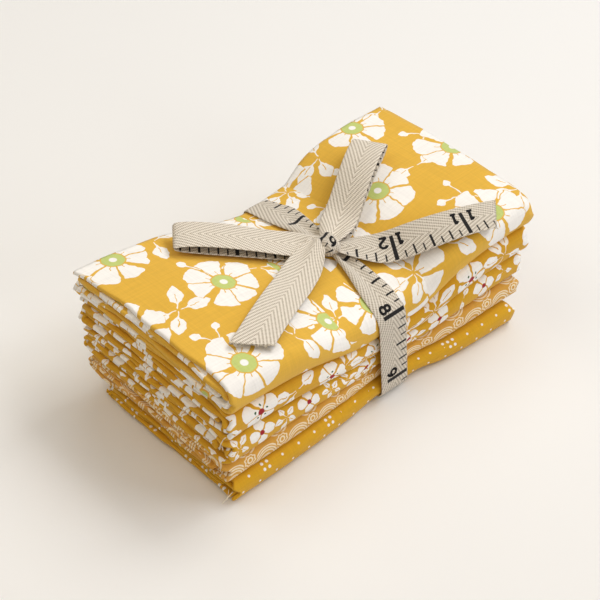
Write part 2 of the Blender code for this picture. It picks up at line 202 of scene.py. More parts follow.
def top_of_stack(x, y):
    """Height of the stack: a pillow to each side of the waist, lower at its edges."""
    w = waist(x)
    away = np.clip((np.abs(x) - PILLOW_X) / PILLOW_REACH, -1.0, 1.0)
    pillow = PILLOW * np.cos(away * math.pi / 2)
    edge = (np.abs(y) / HALF_WIDTH) ** 2
    waist_drop = np.where(y < 0, WAIST_NEAR_DROP, WAIST_FAR_DROP)
    level = END_TOP * (1 - w) + WAIST_TOP * w + pillow * (1 - w)
    return level - edge * (END_EDGE_DROP * (1 - w) + waist_drop * w)


def seam_height(row, x, y):
    """Height of the surface under the cotton with this row number: its share of the stack, rippled."""
    low, w = bottom_of_stack(x), waist(x)
    end = sum(c["end_share"] for c in COTTONS[:row])
    middle = sum(c["waist_share"] for c in COTTONS[:row])
    return low + (end * (1 - w) + middle * w) * (top_of_stack(x, y) - low) + ripple(row, x, y)


# Each cotton is one cut of 457 by 559 mm. Its width is folded six ways, and each of the
# six levels is the length folded in half twice, so the left end shows only folds.
CLOTH_THICK = 0.2
LEVELS = 6
NEAR_WRAP_SHARE = 0.4
FAR_TURN_SHARE = 0.24
SMALL_TURN_BACK = 6.5
TURN_SQUARENESS = 2.4
LAYER_GAP = 0.4
RAW_EDGE_BACK = (0.4, 2.4)
END_STEP = 0.7
SIDE_SLANT_FROM = 26.0
SIDE_SLANT_OVER = 6.0
END_SWELL_REACH = 9.0
END_SWELL = 0.93
RIGHT_SWELL = 0.8
INNER_FOLD_BACK = 2.2


def unit(v):
    """Each row scaled to length 1."""
    return v / np.linalg.norm(v, axis=-1, keepdims=True)


def run_along(points):
    """Length of a line up to each of its points: the sum of its steps."""
    return np.concatenate([[0.0], np.cumsum(np.linalg.norm(np.diff(points, axis=0), axis=1))])


def turned(tip_y, depth, centre_z, half_height, toward, count):
    """Half a superellipse that bulges along Y to its tip: one turn of the cloth, as rows of y, z."""
    angle = np.linspace(math.pi / 2, -math.pi / 2, count)
    power = 2.0 / TURN_SQUARENESS
    y = tip_y - toward * depth + toward * depth * np.cos(angle).clip(0) ** power
    z = centre_z + half_height * np.sign(np.sin(angle)) * np.abs(np.sin(angle)) ** power
    return np.stack([y, z], axis=1)


def folded_path(cotton, rise, fine):
    """Middle line of the six levels as rows of y, z: 1 to 6 round the near side, 6 to 3 at the far
    side, small turns to 4 and 5, and inside the near turn to 2. Each turn is half a superellipse,
    and fine is the step on level 1. Also gives the number of the point at the near turn's middle."""
    thick = cotton["level"]
    pitch = (rise - thick) / (LEVELS - 1)
    near, far = cotton["y_near"] + thick / 2, cotton["y_far"] - thick / 2
    step = thick + LAYER_GAP
    wrap = NEAR_WRAP_SHARE * rise

    def z(level):
        return rise - thick / 2 - (level - 1) * pitch

    def run(level, start, end, count):
        return np.stack([np.linspace(start, end, count + 2)[1:-1], np.full(count, z(level))], axis=1)

    outer = turned(near, wrap, z(3.5), 2.5 * pitch, -1, 25)
    middle = turned(near + step, wrap - 0.5 * step, z(3.5), 1.5 * pitch, -1, 15)
    small = turned(near + SMALL_TURN_BACK, 0.5 * pitch, z(3.5), 0.5 * pitch, -1, 9)
    far_turn = turned(far, FAR_TURN_SHARE * rise, z(4.5), 1.5 * pitch, 1, 15)
    far_small = turned(far - step, 0.5 * pitch, z(4.5), 0.5 * pitch, 1, 9)
    far_1, far_2 = (cotton["y_far"] - b for b in RAW_EDGE_BACK)
    top_count = int((far_1 - outer[0, 0]) / fine)
    path = np.concatenate([
        [[far_1, z(1)]], run(1, far_1, outer[0, 0], top_count), outer,
        run(6, outer[-1, 0], far_turn[-1, 0], 14), far_turn[::-1],
        run(3, far_turn[0, 0], small[0, 0], 10), small,
        run(4, small[-1, 0], far_small[0, 0], 10), far_small,
        run(5, far_small[-1, 0], middle[-1, 0], 10), middle[::-1],
        run(2, middle[0, 0], far_2, 10), [[far_2, z(2)]]])
    return path, 1 + top_count + len(outer) // 2


def ply_stations(fine):
    """The four plies of a level as rows of share of the length, fold offset along X, place across
    the level (both in ply steps), whether the ply lies inside, and cloth used up, in shares.

    Ply D lies outside, then A, B and C. The cloth runs A to the left, small fold, B to the
    right, small fold, C to the left, wide fold round the left end, and D to the right."""
    ends = np.array([0.0, 0.004, 0.01, 0.02, 0.035, 0.06, 0.1, 0.2,
                     0.35, 0.5, 0.65, 0.8, 0.9, 0.95, 0.98, 1.0])
    show = np.unique(np.concatenate([ends[:6], np.linspace(0.06, 0.97, fine), [0.985, 1.0]]))
    half_turn = np.linspace(0.0, math.pi, 9)[1:-1]
    wide_turn = np.linspace(0.0, math.pi, 13)[1:-1]
    ones = np.ones
    share = np.concatenate([ends[::-1], 0 * half_turn, ends, ones(7), ends[::-1], 0 * wide_turn, show])
    aside = np.concatenate([0 * ends, -0.5 * np.sin(half_turn), 0 * ends, 0.5 * np.sin(half_turn),
                            0 * ends, -1.5 * np.sin(wide_turn), 0 * show])
    across = np.concatenate([-0.5 + 0 * ends, -0.5 * np.cos(half_turn), 0.5 + 0 * ends,
                             1.0 - 0.5 * np.cos(half_turn), 1.5 + 0 * ends, 1.5 * np.cos(wide_turn),
                             -1.5 + 0 * show])
    inner = np.concatenate([ones(39), np.zeros(34 + len(show))])
    used = np.concatenate([-2.0 - ends[::-1], -2.0 + 0 * half_turn, -2.0 + ends, -1.0 + 0 * half_turn,
                           -ends[::-1], 0 * wide_turn, show])
    return share, aside, across, inner, used


def cotton_grid(row, fine_x, fine_y):
    """Positions and cloth map of one folded cotton, as arrays over its two folded directions.

    Each point is the folded path at one direction, moved along the path's normal by the place of
    its ply, which the other direction gives. The section is then pressed between the seams. The
    map counts from the middle of the near fold, so each print's rows are set from there."""
    cotton = COTTONS[row]
    rise = cotton["end_share"] * END_TOP - PIECE_GAP
    pitch = (rise - cotton["level"]) / (LEVELS - 1)
    path, near_middle = folded_path(cotton, rise, fine_y)
    run = run_along(path)
    along = unit(np.gradient(path, axis=0))
    normal = np.stack([-along[:, 1], along[:, 0]], axis=1)
    level = 1 + (rise - cotton["level"] / 2 - path[:, 1]) / pitch
    share, aside, across, inner, used = (a[:, None] for a in ply_stations(fine_x))

    lift = (np.abs(path[:, 0]) / HALF_WIDTH) ** 2
    wander = 0.35 * np.sin(path[:, 0] / 7.0 + 2.1 * level + row)
    wander = wander + 0.25 * np.sin(path[:, 0] / 3.1 + 3.7 * level)
    left = cotton["x_left"] + END_STEP * (1 + np.sin(2.3 * level + 1.7 * row)) + wander * (1 + 0.5 * lift)
    end = cotton["x_right"] - END_STEP * (1 + np.sin(1.9 * level + 1.1 * row)) + 0.6 * wander
    x_plain = left + (end - left) * share + inner * INNER_FOLD_BACK * np.exp(-share * 25.0)

    tight = (cotton["level"] - CLOTH_THICK) / 3
    loose = (END_SWELL * pitch - CLOTH_THICK) / 3
    open_left = np.clip(1 - (x_plain - left) / END_SWELL_REACH, 0.0, 1.0) ** 2
    open_right = RIGHT_SWELL * np.clip(1 - (end - x_plain) / END_SWELL_REACH, 0.0, 1.0) ** 2
    step = tight + (loose - tight) * np.maximum(open_left, open_right)
    x = x_plain + aside * step + 1.5 * loose * np.clip(1 - share * 20.0, 0.0, 1.0) ** 2
    y = path[:, 0] + normal[:, 0] * across * step
    z = path[:, 1] + normal[:, 1] * across * step
    raw = np.exp(-run / 3.0) + np.exp(-(run[-1] - run) / 3.0)
    y = y + raw * 0.3 * np.sin(x / 5.0 + across) * np.sin(x / 13.0 + 2.0)

    slant = np.where(x < 0, cotton["left_slant"], cotton["right_slant"])
    x_world = x + slant * y * np.clip((np.abs(x) - 50.0) / 20.0, 0.0, 1.0)
    edge = np.clip((np.abs(y) - SIDE_SLANT_FROM) / SIDE_SLANT_OVER, 0.0, 1.0)
    y_local = y + cotton["side_slant"] * x_world * edge
    y_world = y_local * (1 - WAIST_PULL_IN * waist(x_world))
    low = seam_height(row, x_world, y_local) + (PIECE_GAP / 2 if row else FLOOR_CLEAR)
    high = seam_height(row + 1, x_world, y_local) - PIECE_GAP / 2
    z_world = low + z / rise * (high - low)
    spots = np.stack([x_world, y_world, z_world], axis=2)
    cut_x = cotton["x_left"] + used * (cotton["x_right"] - cotton["x_left"])
    cut_x = np.where(used >= 0.0, x_world, cut_x)
    outside = run_along(spots[-3 * fine_x // 4])
    cut_y = outside[near_middle] - outside
    cloth = np.stack(np.broadcast_arrays(cut_x, cut_y), axis=2)
    return spots, cloth


def grid_object(name, grids, map_name):
    """A smooth mesh from grids of positions and map places, both in millimetres, joined edge to edge."""
    points, corners, places, start = [], [], [], 0
    for spots, flat in grids:
        rows, columns = spots.shape[:2]
        number = start + np.arange(rows * columns).reshape(rows, columns)
        quads = np.stack([number[:-1, :-1], number[1:, :-1], number[1:, 1:], number[:-1, 1:]], axis=2)
        corners.append(quads.reshape(-1, 4))
        places.append(flat.reshape(-1, 2))
        points.append(spots.reshape(-1, 3))
        start += rows * columns
    corners = np.concatenate(corners)
    mesh = bpy.data.meshes.new(name)
    mesh.from_pydata(((np.concatenate(points) - DRAWN_MIDDLE) * MM).tolist(), [], corners.tolist())
    layer = mesh.uv_layers.new(name=map_name)
    layer.data.foreach_set("uv", (np.concatenate(places)[corners.ravel()] * MM).ravel())
    work = bmesh.new()
    work.from_mesh(mesh)
    bmesh.ops.remove_doubles(work, verts=work.verts, dist=1e-6)
    work.to_mesh(mesh)
    work.free()
    mesh.shade_smooth()
    piece = bpy.data.objects.new(name, mesh)
    bpy.context.scene.collection.objects.link(piece)
    return piece


THREAD_RADIUS = 0.13


def yarn_grid(points, radius):
    """A round yarn along a line of points: a ring of eight points round each, drawn in to both tips."""
    ahead = unit(np.gradient(points, axis=0))
    side = unit(np.cross(ahead, [0.31, 0.2, 0.93]))
    over = np.cross(side, ahead)
    share = np.linspace(-1.0, 1.0, len(points))
    thick = radius * np.sqrt(1 - np.abs(share) ** 12)
    turn = np.linspace(0.0, 2 * math.pi, 8)
    ring = side[:, None] * np.cos(turn)[:, None] + over[:, None] * np.sin(turn)[:, None]
    return points[:, None] + ring * thick[:, None, None], np.zeros((len(points), 8, 2))


def stand_for(piece, node):
    """The piece rides on the bundle and is shown for a node's solid, which is hidden."""
    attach(piece, "root")
    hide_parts(node)


def loose_yarn(name, grids, colour, node):
    """A piece of loose yarn ends of one colour, riding with the cloth that it comes from."""
    piece = grid_object(name, grids, "cloth")
    material, tree, shader = new_material(name + "_cotton_yarn", 0.9)
    shader.inputs["Base Color"].default_value = srgb(colour)
    shader.inputs["Sheen Weight"].default_value = 0.2
    piece.data.materials.append(material)
    stand_for(piece, node)
    return piece


def make_cotton(row, material, threads=(), fine_x=60, fine_y=5.0):
    """One folded cotton: its sheet, thickness, print, loose threads, and what it stands for.

    A loose thread is an arc from its root: a straight part along its way and a curl by the square."""
    name = COTTONS[row]["name"]
    piece = grid_object("cloth_" + name, [cotton_grid(row, fine_x, fine_y)], "cloth")
    body = piece.modifiers.new("thickness", "SOLIDIFY")
    body.thickness = CLOTH_THICK * MM
    body.offset = 0.0
    piece.data.materials.append(material)
    stand_for(piece, name)
    arcs = []
    for root, way, curl in threads:
        t = np.linspace(0.0, 1.0, 14)[:, None]
        arcs.append(yarn_grid(np.array(root) + np.array(way) * t + np.array(curl) * t * t, THREAD_RADIUS))
    loose = [loose_yarn(name + "_threads", arcs, "#EFE6D4", name)] if arcs else []


# Printed quilting cotton: plain weave with a thread every 0.36 mm, printed with pigment, so
# it is matt, a little fuzzy, and its ground shows faint thick threads. Drawn at 0.7 mm.
THREAD = 0.7
SLUB_LONG = 14.0


def cloth_place(tree):
    """The place on the flat cloth, from its map, in millimetres."""
    place = add(tree, "VectorMath SCALE", add(tree, "UVMap", uv_map="cloth"))
    place.node.inputs["Scale"].default_value = 1.0 / MM
    return place


def cotton_cloth(name, ground):
    """Starts a printed cotton: its material, tree, shader, ground colour and place in millimetres."""
    material, tree, shader = new_material(name, 0.8)
    shader.inputs["Sheen Weight"].default_value = 0.12
    shader.inputs["Sheen Roughness"].default_value = 0.6
    colour = add(tree, "RGB")
    colour.default_value = ground
    return material, tree, shader, cloth_place(tree), colour


def disc(tree, distance, radius, soft=0.1):
    """1 where a distance in millimetres is below the radius and 0 above, with a soft inked edge."""
    distance = add(tree, "Math SUBTRACT", distance, radius)
    return add(tree, "MapRange", distance, -soft, soft, 1.0, 0.0, interpolation_type="SMOOTHSTEP")


def printed(tree, under, ink, mask):
    """One screen of the print: an ink laid over what is under it where the mask is 1."""
    return add(tree, "Mix", mask, None, None, None, None, None, under, ink, out=2, data_type="RGBA")


def weave_and_finish(tree, shader, place, colour):
    """Thread lines in both directions, as noise drawn out along each, over the print and as relief."""
    relief = None
    for stretch in ((1.0 / THREAD, 1.0 / SLUB_LONG, 0.0), (1.0 / SLUB_LONG, 1.0 / THREAD, 0.0)):
        drawn = add(tree, "VectorMath MULTIPLY", place, stretch)
        slub = add(tree, "TexNoise", drawn, None, 1.0, 2.0, 0.6)
        tone = add(tree, "MapRange", slub, 0.3, 0.7, 0.96, 1.035)
        relief = slub if relief is None else add(tree, "Math ADD", relief, slub)
        colour = add(tree, "VectorMath MULTIPLY", colour, tone)
    weave = add(tree, "TexNoise", place, None, 2.6, 1.0, 0.5)
    relief = add(tree, "Math ADD", relief, weave)
    bump = add(tree, "Bump", 0.35, 0.00012, None, relief)
    tree.links.new(colour, shader.inputs["Base Color"])
    tree.links.new(bump, shader.inputs["Normal"])


def staggered(tree, place, pitch, shift, seed=0.0, jitter=0.0):
    """Cell number, and place in millimetres from the cell's own middle.

    Every other row of cells is moved along by half a cell, and each middle is moved by chance
    by up to the jitter. A shift of half the pitch puts a middle at the cloth's zero."""
    cells = add(tree, "VectorMath ADD", place, (*shift, 0.0))
    cells = add(tree, "VectorMath DIVIDE", cells, (*pitch, 1.0))
    parts = add(tree, "SeparateXYZ", cells)
    half = add(tree, "Math FLOOR", parts.node.outputs[1])
    half = add(tree, "Math PINGPONG", half, 1.0)
    along = add(tree, "Math MULTIPLY_ADD", half, 0.5, parts)
    cells = add(tree, "CombineXYZ", along, parts.node.outputs[1], seed)
    cell = add(tree, "VectorMath FLOOR", cells)
    local = add(tree, "VectorMath SUBTRACT", cells, cell)
    local = add(tree, "VectorMath SUBTRACT", local, (0.5, 0.5, 0.0))
    local = add(tree, "VectorMath MULTIPLY", local, (*pitch, 0.0))
    if jitter:
        chance = add(tree, "TexWhiteNoise", cell, out=1, noise_dimensions="3D")
        moved = add(tree, "VectorMath SUBTRACT", chance, (0.5, 0.5, 0.5))
        moved = add(tree, "VectorMath MULTIPLY", moved, (2 * jitter, 2 * jitter, 0.0))
        local = add(tree, "VectorMath SUBTRACT", local, moved)
    return cell, local


HALO = 0.45
RAGGED = 0.8


def heads(tree, cell, local, count, reach, vary, half_width, outline,
          notch=0.0, slit=0.25, lean=0.0, skip=0.0):
    """Flower heads or leaf sprays, one in each cell.

    Polar formula: the turn round the middle is cut into equal sectors, and each holds one petal
    or leaf, as wide at each distance as the outline says. By chance it is shorter, leans, has a
    notched or pointed tip, or is left out. Noise moves the edges, as a brush would. Returns the
    mask, the mask with a halo round it, the distance from the middle and across the petal, and
    the share along it."""
    from_middle = add(tree, "VectorMath LENGTH", local, out=1)
    drawn = add(tree, "VectorMath MULTIPLY_ADD", cell, (13.0, 17.0, 5.0), local)
    drawn = add(tree, "TexNoise", drawn, None, 0.4, 1.0, 0.4, out=1)
    drawn = add(tree, "VectorMath SUBTRACT", drawn, (0.5, 0.5, 0.5))
    local = add(tree, "VectorMath MULTIPLY_ADD", drawn, (2 * RAGGED, 2 * RAGGED, 0.0), local)
    away = add(tree, "VectorMath LENGTH", local, out=1)
    axes = add(tree, "SeparateXYZ", local)
    angle = add(tree, "Math ARCTAN2", axes.node.outputs[1], axes)
    sector = add(tree, "Math MULTIPLY", angle, count / (2 * math.pi))
    spin = add(tree, "TexWhiteNoise", cell, out=0, noise_dimensions="3D")
    sector = add(tree, "Math MULTIPLY_ADD", spin, float(count), sector)
    sector = add(tree, "Math WRAP", sector, float(count), 0.0)
    petal = add(tree, "Math FLOOR", sector)
    key = add(tree, "CombineXYZ", petal, petal, 0.37)
    chances = add(tree, "TexWhiteNoise", add(tree, "VectorMath ADD", cell, key), out=1)
    long_by = add(tree, "SeparateXYZ", chances)
    lean_by, notch_by = long_by.node.outputs[1], long_by.node.outputs[2]

    tilt = add(tree, "MapRange", lean_by, 0.0, 1.0, -lean, lean)
    off = add(tree, "Math SUBTRACT", add(tree, "Math FRACT", sector), 0.5)
    off = add(tree, "Math ABSOLUTE", add(tree, "Math SUBTRACT", off, tilt))
    arc = add(tree, "Math MULTIPLY", away, 2 * math.pi / count)
    across = add(tree, "Math MULTIPLY", off, arc)
    free = add(tree, "Math SUBTRACT", 0.5, add(tree, "Math ABSOLUTE", tilt))
    room = add(tree, "Math MULTIPLY_ADD", free, arc, -slit)

    length = add(tree, "MapRange", long_by, 0.0, 1.0, (1 - vary) * reach, reach)
    share = add(tree, "Math DIVIDE", away, length)
    cleft = add(tree, "MapRange", across, 0.0, 0.8 * half_width, 1.0, 0.0)
    depth = add(tree, "MapRange", notch_by, 0.0, 1.0, -0.5 * notch, notch)
    tip = add(tree, "Math MULTIPLY_ADD", cleft, depth, share)
    curve = add(tree, "FloatCurve", 1.0, tip)
    points = curve.node.mapping.curves[0].points
    points[0].location, points[-1].location = outline[0], outline[-1]
    for spot in outline[1:-1]:
        points.new(*spot)
    curve.node.mapping.update()
    wide = add(tree, "Math MULTIPLY", curve, half_width)
    wide = add(tree, "Math MINIMUM", wide, room)
    gap = add(tree, "Math SUBTRACT", across, wide)
    mask = disc(tree, gap, 0.0)
    halo = disc(tree, gap, HALO)
    halo = add(tree, "Math MULTIPLY", halo, add(tree, "Math LESS_THAN", tip, 1.04))
    if skip:
        kept = add(tree, "Math GREATER_THAN", long_by, skip)
        mask = add(tree, "Math MULTIPLY", mask, kept)
        halo = add(tree, "Math MULTIPLY", halo, kept)
    return mask, halo, from_middle, across, share


# Outlines of one petal, leaf, small petal and bud: share of the length, then of the half width
PETAL = [(0.0, 0.15), (0.3, 0.5), (0.52, 0.88), (0.72, 1.0), (0.87, 0.9), (0.96, 0.6), (1.0, 0.0)]
LEAF = [(0.0, 0.1), (0.26, 0.1), (0.4, 0.6), (0.62, 1.0), (0.84, 0.62), (0.96, 0.2), (1.0, 0.0)]
SMALL_PETAL = [(0.0, 0.2), (0.3, 0.6), (0.65, 1.0), (0.88, 0.8), (0.97, 0.4), (1.0, 0.0)]
BUD = [(0.0, 0.2), (0.6, 0.2), (0.72, 0.75), (0.84, 1.0), (0.94, 0.6), (1.0, 0.0)]


def veined(tree, mask, across, share, first, last, half_line=0.15):
    """The mask of a petal or leaf, less a thin line of ground colour up its middle."""
    line = disc(tree, across, half_line, 0.06)
    line = add(tree, "Math MULTIPLY", line, add(tree, "Math GREATER_THAN", share, first))
    line = add(tree, "Math MULTIPLY", line, add(tree, "Math LESS_THAN", share, last))
    return add(tree, "Math SUBTRACT", mask, line, use_clamp=True)


def print_heads(tree, place, colour, pitch, shift, seed, jitter, shape, around=None, vein=None, **ways):
    """Prints a row of white heads over the colour: the ground round each first, where it is given,
    then the petals or leaves, veined from one share of their length to another. Returns the
    colour, and the distances from each middle and across each petal."""
    cell, local = staggered(tree, place, pitch, shift, seed, jitter)
    mask, halo, away, across, share = heads(tree, cell, local, *shape, **ways)
    if around:
        colour = printed(tree, colour, around, halo)
    if vein:
        mask = veined(tree, mask, across, share, *vein)
    return printed(tree, colour, WHITE_INK, mask), away, across


WHITE_INK = srgb("#FCFAF6")
RED_INK = srgb("#A00D1B")
PINE_INK = srgb("#2F5A2C")
MIDDLE_SOFT = 0.15

# Bottom cotton: mustard ground, with pin dots in rows, and clusters of four dots in place of
# every fourth pin of every other row.
MUSTARD = srgb("#DCA81A")
PIN_PITCH = (7.3, 4.2)
PIN_SHIFT = (2.0, -1.7)
PIN_RADIUS = 0.46
CLUSTER_APART = 1.05
CLUSTER_RADIUS = 0.56
CLUSTER_CLEAR = 2.4
dot_cloth, tree, shader, place, colour = cotton_cloth("dot_print_cotton", MUSTARD)
cell, local = staggered(tree, place, PIN_PITCH, PIN_SHIFT)
pin = disc(tree, add(tree, "VectorMath LENGTH", local, out=1), PIN_RADIUS)
cluster_shift = (PIN_SHIFT[0] + 1.5 * PIN_PITCH[0], PIN_SHIFT[1] + PIN_PITCH[1] / 2)
cell, local = staggered(tree, place, (4 * PIN_PITCH[0], 2 * PIN_PITCH[1]), cluster_shift)
clear = add(tree, "VectorMath LENGTH", local, out=1)
clear = add(tree, "Math GREATER_THAN", clear, CLUSTER_CLEAR)
local = add(tree, "VectorMath ABSOLUTE", local)
local = add(tree, "VectorMath SUBTRACT", local, (CLUSTER_APART, CLUSTER_APART, 0.0))
four = disc(tree, add(tree, "VectorMath LENGTH", local, out=1), CLUSTER_RADIUS)
pin = add(tree, "Math MULTIPLY", pin, clear)
colour = printed(tree, colour, WHITE_INK, add(tree, "Math MAXIMUM", pin, four))
weave_and_finish(tree, shader, place, colour)
make_cotton(0, dot_cloth, [
    ((-70.6, -38.6, 5.0), (-3.2, -1.4, 0.6), (-1.6, 1.6, -3.2)),
    ((-70.2, -36.0, 3.6), (-1.8, -2.6, 0.2), (-1.0, 0.4, -1.8)),
])

# Fourth cotton: light amber ground, with rows of arches of several lines and a small medallion
# of a ring and a scalloped ring in each dip between them, a common shell and medallion pattern.
# Each line is its radius and half its width, and a medallion's also the depth of its scallops.
AMBER = srgb("#DDA644")
CREAM_INK = srgb("#F7E7C6")
SHELL_PITCH = (14.0, 12.0)
SHELL_SHIFT = (7.0, 8.7)
SHELL_LINES = [(0.9, 0.34), (1.9, 0.27), (3.6, 0.27), (4.5, 0.27), (5.4, 0.27)]
LINE_SOFT = 0.09
MEDALLION_SHIFT = (0.0, 4.7)
MEDALLION_CLEAR = 2.95
MEDALLION_LINES = [(0.95, 0.3, 0.0), (2.1, 0.28, 0.18)]
SCALLOPS = 8.0
medallion_cloth, tree, shader, place, colour = cotton_cloth("medallion_print_cotton", AMBER)
cell, local = staggered(tree, place, SHELL_PITCH, SHELL_SHIFT)
nearest = add(tree, "VectorMath LENGTH", local, out=1)
for along, up_by in ((1, 1), (-1, 1), (1, -1), (-1, -1)):
    apart = (along * SHELL_PITCH[0] / 2, up_by * SHELL_PITCH[1], 0.0)
    other = add(tree, "VectorMath DISTANCE", local, apart, out=1)
    nearest = add(tree, "Math MINIMUM", nearest, other)
for radius, half_line in SHELL_LINES:
    off = add(tree, "Math ABSOLUTE", add(tree, "Math SUBTRACT", nearest, radius))
    colour = printed(tree, colour, CREAM_INK, disc(tree, off, half_line, LINE_SOFT))
cell, local = staggered(tree, place, SHELL_PITCH, MEDALLION_SHIFT)
away = add(tree, "VectorMath LENGTH", local, out=1)
axes = add(tree, "SeparateXYZ", local)
lobes = add(tree, "Math ARCTAN2", axes.node.outputs[1], axes)
lobes = add(tree, "Math COSINE", add(tree, "Math MULTIPLY", lobes, SCALLOPS))
colour = printed(tree, colour, AMBER, disc(tree, away, MEDALLION_CLEAR))
for radius, half_line, deep in MEDALLION_LINES:
    off = add(tree, "Math SUBTRACT", away, radius)
    off = add(tree, "Math MULTIPLY_ADD", lobes, deep, off)
    off = add(tree, "Math ABSOLUTE", off)
    colour = printed(tree, colour, CREAM_INK, disc(tree, off, half_line, LINE_SOFT))
weave_and_finish(tree, shader, place, colour)
make_cotton(1, medallion_cloth)

# Third cotton: small four-petal blossoms with a red middle, in rows, and leafy twigs and buds
# between them.
GOLD = srgb("#DBA722")
SPRIG_PITCH = (21.0, 10.6)
sprig_cloth, tree, shader, place, colour = cotton_cloth("sprig_print_cotton", GOLD)
colour = print_heads(tree, place, colour, SPRIG_PITCH, (16.0, 3.3), 3.0, 0.6,
                     (5, 5.6, 0.3, 1.1, LEAF), vein=(0.4, 0.8, 0.1), skip=0.2, lean=0.1)[0]
colour, away, across = print_heads(tree, place, colour, SPRIG_PITCH, (5.5, 3.3), 7.0, 0.5,
                                   (4, 5.4, 0.12, 2.3, SMALL_PETAL), GOLD, notch=0.1, lean=0.04)
colour = printed(tree, colour, RED_INK, disc(tree, away, 1.0, MIDDLE_SOFT))
weave_and_finish(tree, shader, place, colour)
make_cotton(2, sprig_cloth)

# Second cotton: deeper mustard, with wide leaf sprays and mid-size blossoms that have a red
# middle in a ring of tiny dark-green dots.
DEEP = srgb("#D8A31E")
SPRAY_PITCH = (33.0, 20.0)
STAMEN_AWAY = 2.6
STAMEN_RADIUS = 0.42
leaf_cloth, tree, shader, place, colour = cotton_cloth("leaf_print_cotton", DEEP)
colour = print_heads(tree, place, colour, SPRAY_PITCH, (26.0, 9.0), 5.0, 1.0,
                     (7, 12.0, 0.3, 2.1, LEAF), vein=(0.42, 0.8), skip=0.25, lean=0.12)[0]
colour, away, across = print_heads(tree, place, colour, SPRAY_PITCH, (9.5, 9.0), 11.0, 1.0,
                                   (5, 8.0, 0.2, 3.6, PETAL), DEEP, notch=0.16, lean=0.05)
dots = add(tree, "Math SUBTRACT", away, STAMEN_AWAY)
dots = add(tree, "VectorMath LENGTH", add(tree, "CombineXYZ", dots, across, 0.0), out=1)
colour = printed(tree, colour, PINE_INK, disc(tree, dots, STAMEN_RADIUS))
colour = printed(tree, colour, RED_INK, disc(tree, away, 1.3, MIDDLE_SOFT))
weave_and_finish(tree, shader, place, colour)
make_cotton(3, leaf_cloth, [
    ((-70.8, -36.0, 27.6), (-3.8, 0.8, 1.2), (-1.0, -2.4, -2.6)),
    ((-70.9, -33.5, 25.0), (-2.2, -2.4, -0.8), (0.2, -0.6, -0.8)),
])

# Top cotton: golden yellow ground, with large white blossoms that have a light green middle
# and a white eye, and leaf sprays and budding twigs in the gaps between them.
SUNNY = srgb("#E5B53E")
LIME_INK = srgb("#C6D37C")
BLOOM_PITCH = (37.0, 32.0)
GREEN_RING = 4.4
GREEN_MIDDLE = 3.95
WHITE_EYE = 1.3
EYE_SOFT = 0.2
blossom_cloth, tree, shader, place, colour = cotton_cloth("blossom_print_cotton", SUNNY)
colour = print_heads(tree, place, colour, BLOOM_PITCH, (4.0, -5.0), 2.0, 2.0,
                     (5, 11.5, 0.35, 1.5, BUD), skip=0.35, lean=0.15)[0]
colour = print_heads(tree, place, colour, BLOOM_PITCH, (20.5, 5.0), 9.0, 2.0,
                     (6, 12.5, 0.25, 2.7, LEAF), SUNNY, (0.36, 0.66), skip=0.45, lean=0.15)[0]
colour, away, across = print_heads(tree, place, colour, BLOOM_PITCH, (2.0, 5.0), 1.0, 1.4,
                                   (7, 14.6, 0.2, 5.6, PETAL), SUNNY, (0.3, 0.46),
                                   notch=0.1, slit=0.26, lean=0.1)
scallop = add(tree, "Math MULTIPLY_ADD", across, 0.1, away)
colour = printed(tree, colour, SUNNY, disc(tree, scallop, GREEN_RING, MIDDLE_SOFT))
colour = printed(tree, colour, LIME_INK, disc(tree, scallop, GREEN_MIDDLE, MIDDLE_SOFT))
colour = printed(tree, colour, WHITE_INK, disc(tree, away, WHITE_EYE, EYE_SOFT))
weave_and_finish(tree, shader, place, colour)
make_cotton(4, blossom_cloth, fine_x=130, fine_y=1.2)

# The tape: unbleached cotton herringbone twill, 12.7 mm wide, printed in black as a tape
# measure. One length goes round the stack and is tied in a bow on top.
TAPE_WIDTH = 12.7
TAPE_THICK = 0.55
TAPE_CLEAR = 0.4
INCH = 25.4
REVERSE_SHIFT = 20.0
ACROSS_POINTS = 17
GATHERED_WIDTH = 0.42
GATHER_REACH = 0.28
# The middle of the knot, which is drawn some 4 mm nearer to the near left corner than its solid
KNOT = np.array([3.2, -3.8, 43.8])
ROOT_APART = 0.8
OVER_REACH = 0.4
KNOT_HOLD = 0.45
LOOP_FULLNESS = 0.75
TAIL_CLEAR = 0.3
TILT_RATE = 1.6
CUT_BEND = 6
PLEAT_DEPTH = 0.8
PLEATS = 1.5

# One row for each free part, with the sizes that its solid has, the face and edge that carry
# the print, the inch mark at its root and whether marks count up from there. Aside moves its
# root from the knot's middle, and over lifts it there.
FREE_PARTS = [
    dict(name="left_loop", tip=(-36.9, 28.6), bow=0.0, tip_lift=0.2, belly=0.3, swell=1.5, tilt=-14.0,
         face=1, tick_edge=1, inch=18.9, count=-1, loop=True, slant=0.0),
    dict(name="far_loop", tip=(46.6, 19.2), bow=0.0, tip_lift=1.4, belly=0.4, swell=2.2, tilt=0.0,
         face=1, tick_edge=-1, inch=19.6, count=1, loop=True, slant=0.0),
    dict(name="right_tail", tip=(52.8, -34.6), bow=-3.4, tip_lift=0.6, belly=1.3, swell=0.0, tilt=0.0,
         face=-1, tick_edge=-1, inch=12.88, count=-1, loop=False, slant=6.0),
    dict(name="near_tail", tip=(-53.2, -27.4), bow=0.0, tip_lift=0.6, belly=0.8, swell=0.0, tilt=0.0,
         face=1, tick_edge=1, inch=24.0, count=1, loop=False, slant=-6.0, aside=(-2.6, 2.2), over=2.4),
]


def even_steps(points, step):
    """The same line with points an even step apart: linear interpolation along its length."""
    run = run_along(points)
    at = np.linspace(0.0, run[-1], int(run[-1] / step) + 1)
    return np.stack([np.interp(at, run, points[:, k]) for k in range(points.shape[1])], axis=1)


